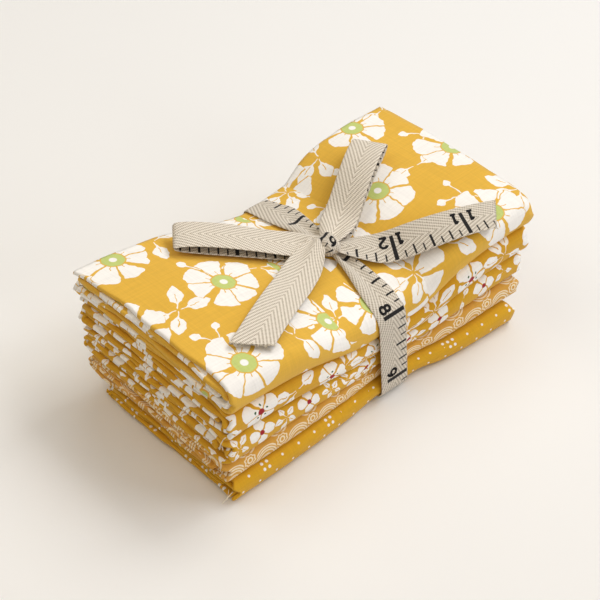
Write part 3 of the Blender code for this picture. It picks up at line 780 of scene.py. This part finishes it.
def make_strip(points, side, half_width, start_mm, count, face, tick_edge, closed=False, slant=0.0,
               phase=0.0, crown=0.0, pleats=PLEATS, depth=PLEAT_DEPTH):
    """A tape along a path: both faces as grids, and what places a mark on its printed face.

    Across the width the tape is flat where it has its full width, and where it is gathered it
    stands in sine pleats that take up the width it has lost. Its thickness thins to nothing at
    both selvedges and at both cuts, so the two faces meet there. A crown bends both selvedges
    in, by the square of the place across."""
    if closed:
        ahead = unit(np.roll(points[:-1], -1, axis=0) - np.roll(points[:-1], 1, axis=0))
        ahead = np.concatenate([ahead, ahead[:1]])
    else:
        ahead = unit(np.gradient(points, axis=0))
        side = unit(side - np.sum(side * ahead, axis=1)[:, None] * ahead)
    normal = unit(np.cross(side, ahead))
    run = run_along(points)
    e = np.sin(np.linspace(-1.0, 1.0, ACROSS_POINTS) * math.pi / 2)
    lost = np.sqrt(np.clip(1.0 - (half_width * 2 / TAPE_WIDTH) ** 2, 0.0, 1.0))
    pleat = depth * lost[:, None] * np.cos(math.pi * pleats * e + phase) - face * crown * e * e
    skew = np.linspace(0.0, 1.0, len(points)) ** CUT_BEND * slant / 2
    middle = (points[:, None] + side[:, None] * (e * half_width[:, None])[..., None]
              + ahead[:, None] * (e * skew[:, None])[..., None] + normal[:, None] * pleat[..., None])
    cut = np.minimum(run, run[-1] - run) / (TAPE_THICK / 2)
    cap = np.ones(len(run)) if closed else np.sqrt(np.clip(cut, 0.0, 1.0))
    half = TAPE_THICK / 2 * cap[:, None] * np.sqrt(np.clip(1 - np.abs(e) ** 10, 0.0, 1.0))
    lift = face * normal[:, None] * half[..., None]
    length = (start_mm + count * run)[:, None] + count * e * skew[:, None]
    from_tick = TAPE_WIDTH / 2 * (1 - tick_edge * e) + 0 * length
    show = np.stack([length, from_tick], axis=2)
    hide = np.stack([length, from_tick + REVERSE_SHIFT], axis=2)
    grids = [(middle + lift, show), (middle - lift, hide)]
    turned_over = 1 if face > 0 else 0
    grids[turned_over] = tuple(a[::-1] for a in grids[turned_over])
    return dict(grids=grids, spots=middle + lift, outward=face * normal, start=start_mm, count=count,
                step=run[-1] / (len(points) - 1), tick_edge=tick_edge, long=run[-1], ahead=ahead)


def cloth_top(x, y):
    """Height of the top cotton, with its ripple."""
    return top_of_stack(x, y) + ripple(len(COTTONS), x, y)


def free_strip(part):
    """Middle line, side direction and half width of a free part, which lies on the cloth.

    It runs straight from its root to its tip with a sine's bow, and a loop comes back again. Its
    two layers stand apart by a sine of the place along it, and near the knot it climbs to it."""
    turns = np.linspace(0.0, 1.0, 400)
    share = np.sin(math.pi * turns) ** LOOP_FULLNESS if part["loop"] else turns
    root = KNOT[:2] + np.array(part.get("aside", (0.0, 0.0)))
    reach = np.array(part["tip"]) - root
    flat = unit(np.array([-reach[1], reach[0]]))
    plan = root + share[:, None] * reach + (part["bow"] * np.sin(math.pi * share))[:, None] * flat
    one, other = plan + flat * TAPE_WIDTH / 2, plan - flat * TAPE_WIDTH / 2
    fall = cloth_top(one[:, 0], one[:, 1]) - cloth_top(other[:, 0], other[:, 1])
    tilted = np.clip(share * TILT_RATE, 0.0, 1.0)
    angle = np.arctan(fall / TAPE_WIDTH) + math.radians(part["tilt"]) * tilted
    side = np.column_stack([np.cos(angle)[:, None] * flat, np.sin(angle)])
    swell = part["swell"] * (1 + np.sin(2 * math.pi * turns)) if part["loop"] else TAIL_CLEAR
    apart = ROOT_APART * np.cos(math.pi * turns) * (1 - share) * part["loop"]
    lying = cloth_top(plan[:, 0], plan[:, 1]) + TAPE_CLEAR + TAPE_THICK / 2 + swell + part["tip_lift"] * share
    lying = lying + part["belly"] * np.sin(math.pi * share)
    lying = lying + TAPE_WIDTH / 2 * math.sin(math.radians(abs(part["tilt"]))) * tilted
    held = (1.0 - np.clip(share / KNOT_HOLD, 0.0, 1.0)) ** 2
    over = part.get("over", 0.0) * np.cos(np.clip(share / OVER_REACH, 0.0, 1.0) * math.pi / 2)
    z = lying * (1 - held) + KNOT[2] * held + apart + over
    opened = np.sin(np.clip(share / GATHER_REACH, 0.0, 1.0) * math.pi / 2)
    half_width = TAPE_WIDTH / 2 * (GATHERED_WIDTH + (1.0 - GATHERED_WIDTH) * opened)
    whole = even_steps(np.column_stack([plan, z, side, half_width]), 0.8)
    return whole[:, :3], whole[:, 3:6], whole[:, 6]


def ring_line():
    """The band's middle line: the farthest cloth in each direction round the waist, moved outward."""
    cloth = np.concatenate([cotton_grid(row, 60, 3.0)[0].reshape(-1, 3) for row in range(len(COTTONS))])
    cloth = cloth[np.abs(cloth[:, 0] - TAPE_X) < WAIST_HALF_FLAT][:, 1:]
    angle = np.linspace(0.0, 2 * math.pi, 721)
    out = np.column_stack([np.cos(angle), np.sin(angle)])
    corner = cloth[np.argmax(out @ cloth.T, axis=1)]
    loop = even_steps(corner + out * (CLOTH_THICK / 2 + TAPE_CLEAR + TAPE_THICK / 2), 0.8)[:-1]
    start = np.argmin(np.abs(loop[:, 0] - KNOT[1]) + 100 * (loop[:, 1] < 30))
    loop = np.roll(loop, -start, axis=0)
    for _ in range(3):
        loop = (np.roll(loop, 1, axis=0) + 2 * loop + np.roll(loop, -1, axis=0)) / 4
    return np.concatenate([loop, loop[:1]])


RING_INCH = 6.71
RING_GATHER = 30.0
RING_RISE = 0.9
loop = ring_line()
ring_points = np.column_stack([TAPE_X + TAPE_SKEW * loop[:, 0], loop])
ring_run = run_along(ring_points)
from_knot = np.minimum(ring_run, ring_run[-1] - ring_run)
ring_open = 0.5 - 0.5 * np.cos(np.clip(from_knot / RING_GATHER, 0.0, 1.0) * math.pi)
ring_half = TAPE_WIDTH / 2 * (GATHERED_WIDTH + (1.0 - GATHERED_WIDTH) * ring_open)
ring_points[:, 2] += RING_RISE * (1 - ring_open)
ring_side = np.tile([1.0, 0.0, 0.0], (len(ring_points), 1))
strips = {"ring": make_strip(ring_points, ring_side, ring_half, RING_INCH * INCH, 1, -1, 1, closed=True)}
for number, part in enumerate(FREE_PARTS):
    strips[part["name"]] = make_strip(*free_strip(part), part["inch"] * INCH, part["count"], part["face"],
                                      part["tick_edge"], slant=part["slant"], phase=number)

# The knot: the same tape, gathered into folds and wound once round the roots of the bow. Under
# the wrap lies a small bunch of folds that fills it.
WRAP_HALF = (4.3, 2.9)
WRAP_HALF_WIDTH = 3.8
WRAP_INCH = 9.15
WRAP_TWIST = 0.25
WRAP_CROWN = 1.5
WRAP_PLEATS = 2.2
angle = np.linspace(0.0, 2 * math.pi, 73)
wrap = np.column_stack([KNOT[0] + 0.6 * np.cos(angle), KNOT[1] + WRAP_HALF[0] * np.cos(angle),
                        KNOT[2] + WRAP_HALF[1] * np.sin(angle)])
wrap_side = unit(np.column_stack([np.ones(73), WRAP_TWIST * np.sin(angle), 0.0 * angle]))
wrap_half = WRAP_HALF_WIDTH + 0.4 * np.sin(2 * angle)
strips["wrap"] = make_strip(wrap, wrap_side, wrap_half, WRAP_INCH * INCH, -1, -1, -1, closed=True, phase=0.6,
                            crown=WRAP_CROWN, pleats=WRAP_PLEATS, depth=0.35)

BUNCH_HALF = (4.1, 3.7, 2.5)
BUNCH_FOLDS = 7
BUNCH_DEPTH = 0.07
lift, round_it = np.meshgrid(np.linspace(-math.pi / 2, math.pi / 2, 25), np.linspace(0.0, 2 * math.pi, 57),
                             indexing="ij")
folds = 1 + BUNCH_DEPTH * np.cos(BUNCH_FOLDS * round_it) * np.cos(lift)
bunch = np.stack([np.sin(lift), np.cos(lift) * np.cos(round_it) * folds,
                  np.cos(lift) * np.sin(round_it) * folds], axis=2)
bunch_flat = np.stack([lift * 6.0, REVERSE_SHIFT + 6.3 + 2.0 * np.sin(round_it)], axis=2)
bunch_grid = (KNOT + bunch * np.array(BUNCH_HALF), bunch_flat)

tape_grids = [grid for strip in strips.values() for grid in strip["grids"]] + [bunch_grid]
tape = grid_object("tape", tape_grids, "cloth")

# Herringbone twill: ribs at an angle that turn over at the tape's middle, each of short floats of
# yarn, with painted shade in the furrows between them, which are painted dark brown. The printed
# face is painted a little darker than the reverse, as painted shade.
twill, tree, shader = new_material("herringbone_twill_tape", 0.9)
shader.inputs["Sheen Weight"].default_value = 0.15
ECRU = srgb("#F1E9DB")
# The furrow brown is painted shade: the shade that falls in the twill's furrows, painted dark.
FURROW_SHADE = srgb("#85745A")
BLACK_INK = srgb("#1B1A1C")
RIB_PITCH = 1.15
RIB_ANGLE = math.radians(27.0)
YARN = 0.6
# The printed face's lower tone is painted shade: that face is drawn darker than the reverse.
PRINTED_FACE_SHADE = 0.88
REVERSE_TONE = 0.98
place = cloth_place(tree)
parts = add(tree, "SeparateXYZ", place)
length, edge = parts, parts.node.outputs[1]
fuzz = add(tree, "TexNoise", place, None, 1.8, 3.0, 0.6)
from_tick = add(tree, "Math WRAP", edge, REVERSE_SHIFT, 0.0)
from_middle = add(tree, "Math SUBTRACT", from_tick, TAPE_WIDTH / 2)
from_middle = add(tree, "Math ABSOLUTE", from_middle)
climb = add(tree, "Math MULTIPLY", length, -math.sin(RIB_ANGLE))
climb = add(tree, "Math MULTIPLY_ADD", from_middle, math.cos(RIB_ANGLE), climb)
climb = add(tree, "Math MULTIPLY_ADD", fuzz, 0.3, climb)
rib = add(tree, "Math PINGPONG", climb, RIB_PITCH / 2)
rib = add(tree, "MapRange", rib, 0.0, RIB_PITCH / 2, 0.0, 1.0, interpolation_type="SMOOTHSTEP")
ahead = add(tree, "Math MULTIPLY", length, math.cos(RIB_ANGLE))
ahead = add(tree, "Math MULTIPLY_ADD", from_middle, math.sin(RIB_ANGLE), ahead)
yarn = add(tree, "Math PINGPONG", ahead, YARN / 2)
yarn = add(tree, "MapRange", yarn, 0.0, YARN / 2, 0.0, 1.0)
high = add(tree, "Math MULTIPLY", rib, 0.42)
high = add(tree, "Math MULTIPLY_ADD", yarn, 0.4, high)
high = add(tree, "Math MULTIPLY_ADD", fuzz, 0.45, high)
tone = add(tree, "MapRange", high, 0.15, 0.78, 0.0, 1.0)
# Painted shade: the low places of the twill are mixed toward the dark furrow brown.
colour = printed(tree, FURROW_SHADE, ECRU, tone)
# Painted shade: the printed face is darkened more than the reverse.
reverse = add(tree, "Math GREATER_THAN", edge, TAPE_WIDTH + 2.0)
reverse = add(tree, "MapRange", reverse, 0.0, 1.0, PRINTED_FACE_SHADE, REVERSE_TONE)
colour = add(tree, "VectorMath MULTIPLY", colour, reverse)

# Each kind of mark: the distance from one to the next, half its width, and its reach from the edge
TICKS = [(INCH / 8, 0.26, 3.1), (INCH / 4, 0.32, 4.2), (INCH / 2, 0.42, 5.3), (INCH, 0.68, 10.0)]
TICK_START = 0.4
TICK_SOFT = 0.07
ticks = None
for apart, half_tick, reach in TICKS:
    near_mark = disc(tree, add(tree, "Math PINGPONG", length, apart / 2), half_tick, TICK_SOFT)
    short = disc(tree, edge, reach, TICK_SOFT)
    mark = add(tree, "Math MULTIPLY", near_mark, short)
    ticks = mark if ticks is None else add(tree, "Math MAXIMUM", ticks, mark)
starts = add(tree, "Math GREATER_THAN", edge, TICK_START)
ticks = add(tree, "Math MULTIPLY", ticks, starts)
worn = add(tree, "MapRange", high, 0.05, 0.35, 0.75, 1.0)
ticks = add(tree, "Math MULTIPLY", ticks, worn)
colour = printed(tree, colour, BLACK_INK, ticks)
tree.links.new(colour, shader.inputs["Base Color"])
tree.links.new(add(tree, "Bump", 0.75, 0.00016, None, high), shader.inputs["Normal"])
tape.data.materials.append(twill)
stand_for(tape, "tape_tie")

# The numbers of the tape measure: black ink, stamped beside each inch mark with their heads to
# the marked edge. Two figures stand on the two sides of their mark. Each figure is drawn in pen
# strokes and laid on the tape's printed face, a twentieth of a millimetre proud.
NUMBER_TALL = 5.2
NUMBER_PEN = 0.5
NUMBER_LIFT = 0.06
NUMBER_EDGE = 7.9
NUMBER_ASIDE = 2.9
NUMBERED = [("ring", 8, 13), ("right_tail", 11, 12), ("left_loop", 16, 18), ("far_loop", 20, 22),
            ("wrap", 9, 9)]


def bend(x, y, wide, tall, start, end):
    """Pen points along part of an ellipse, from one angle in degrees to the other."""
    angle = np.radians(np.linspace(start, end, 17))
    return np.column_stack([x + wide * np.cos(angle), y + tall * np.sin(angle)])


# The pen strokes of each figure, in shares of its height, with its middle at zero
FIGURES = {
    "0": [bend(0.0, 0.0, 0.24, 0.4, 0, 360)],
    "1": [np.array([(-0.2, 0.2), (0.0, 0.4), (0.0, -0.4)]), np.array([(-0.18, -0.4), (0.18, -0.4)])],
    "2": [np.concatenate([bend(0.0, 0.17, 0.24, 0.23, 170, -35), [(-0.24, -0.38), (0.26, -0.38)]])],
    "3": [bend(0.0, 0.19, 0.21, 0.21, 150, -90), bend(0.0, -0.19, 0.24, 0.21, 90, -150)],
    "6": [bend(0.0, -0.16, 0.23, 0.24, 0, 360), bend(0.24, -0.1, 0.47, 0.5, 180, 110)],
    "7": [np.array([(-0.22, 0.4), (0.24, 0.4), (-0.06, -0.4)])],
    "8": [bend(0.0, 0.2, 0.18, 0.2, 0, 360), bend(0.0, -0.19, 0.23, 0.21, 0, 360)],
    "9": [bend(0.0, 0.16, 0.23, 0.24, 0, 360), bend(-0.24, 0.1, 0.47, 0.5, 0, -70)],
}


def pen_stroke(line):
    """A stroke of ink as three rows of x, y: its line, and the same line moved by the pen to both sides."""
    line = even_steps(line * NUMBER_TALL, 0.3)
    ahead = unit(np.gradient(line, axis=0))
    aside = np.column_stack([-ahead[:, 1], ahead[:, 0]]) * NUMBER_PEN
    return np.stack([line - aside, line, line + aside], axis=1)


def on_tape(strip, length, edge):
    """Points just above a strip's printed face, from the length and the distance from the marked
    edge: the nearest four points of its grid, weighted by nearness."""
    spots = strip["spots"]
    row = (length - strip["start"]) / strip["count"] / strip["step"]
    across = np.clip(strip["tick_edge"] * (1 - 2 * edge / TAPE_WIDTH), -1.0, 1.0)
    column = (np.arcsin(across) / math.pi + 0.5) * (ACROSS_POINTS - 1)
    r = np.clip(row.astype(int), 0, spots.shape[0] - 2)
    c = np.clip(column.astype(int), 0, spots.shape[1] - 2)
    part_r, part_c = (row - r)[:, None], (column - c)[:, None]
    near = spots[r, c] * (1 - part_c) + spots[r, c + 1] * part_c
    far = spots[r + 1, c] * (1 - part_c) + spots[r + 1, c + 1] * part_c
    return near * (1 - part_r) + far * part_r + strip["outward"][r] * NUMBER_LIFT


WRAP_NUMBER = (-3.9, 6.6)
WRAP_NUMBER_SHARE = 0.85
WRAP_NUMBER_TIP = math.radians(-150.0)
tip_rows = np.array([[math.cos(WRAP_NUMBER_TIP), math.sin(WRAP_NUMBER_TIP)],
                     [-math.sin(WRAP_NUMBER_TIP), math.cos(WRAP_NUMBER_TIP)]])
strokes = []
for strip_name, inch in [(name, inch) for name, first, last in NUMBERED for inch in range(first, last + 1)]:
    for spot, digit in enumerate(str(inch)):
        aside = -NUMBER_ASIDE if spot == 0 else NUMBER_ASIDE
        edge_at = NUMBER_EDGE
        for line in FIGURES[digit]:
            ink = pen_stroke(line)
            shape = ink.shape[:2]
            ink = ink.reshape(-1, 2)
            if strip_name == "wrap":
                aside, edge_at = WRAP_NUMBER
                ink = ink @ tip_rows * WRAP_NUMBER_SHARE * np.array([1.0, TAPE_WIDTH / 2 / WRAP_HALF_WIDTH])
            ink = on_tape(strips[strip_name], inch * INCH + aside + ink[:, 0], edge_at - ink[:, 1])
            strokes.append((ink.reshape(*shape, 3), np.zeros((*shape, 2))))
numbers = grid_object("tape_numbers", strokes, "cloth")
ink, tree, shader = new_material("stamped_black_ink", 0.85)
shader.inputs["Base Color"].default_value = BLACK_INK
numbers.data.materials.append(ink)
stand_for(numbers, "tape_tie")

# Loose yarn at the tape's two cuts: the ends of its lengthwise yarns fray into a short fringe.
YARN_RADIUS = 0.16
YARN_ENDS = 26
chance = np.random.default_rng(7)
ends = []
for name in ("right_tail", "near_tail"):
    strip = strips[name]
    row = strip["spots"][-2] - strip["outward"][-1] * TAPE_THICK / 2
    for place_across in np.linspace(0.6, ACROSS_POINTS - 1.6, YARN_ENDS):
        c = int(place_across)
        root = row[c] + (row[c + 1] - row[c]) * (place_across - c) - 0.4 * strip["ahead"][-1]
        out = unit(strip["ahead"][-1] + chance.normal(0.0, 0.28, 3) + np.array([0.0, 0.0, -0.12]))
        curl = chance.normal(0.0, 0.16, 3)
        t = np.linspace(0.0, chance.uniform(0.8, 1.7), 6)[:, None]
        ends.append(yarn_grid(root + out * t + curl * t * t, YARN_RADIUS))
fringe = loose_yarn("tape_yarn_ends", ends, "#D8CDB8", "tape_tie")
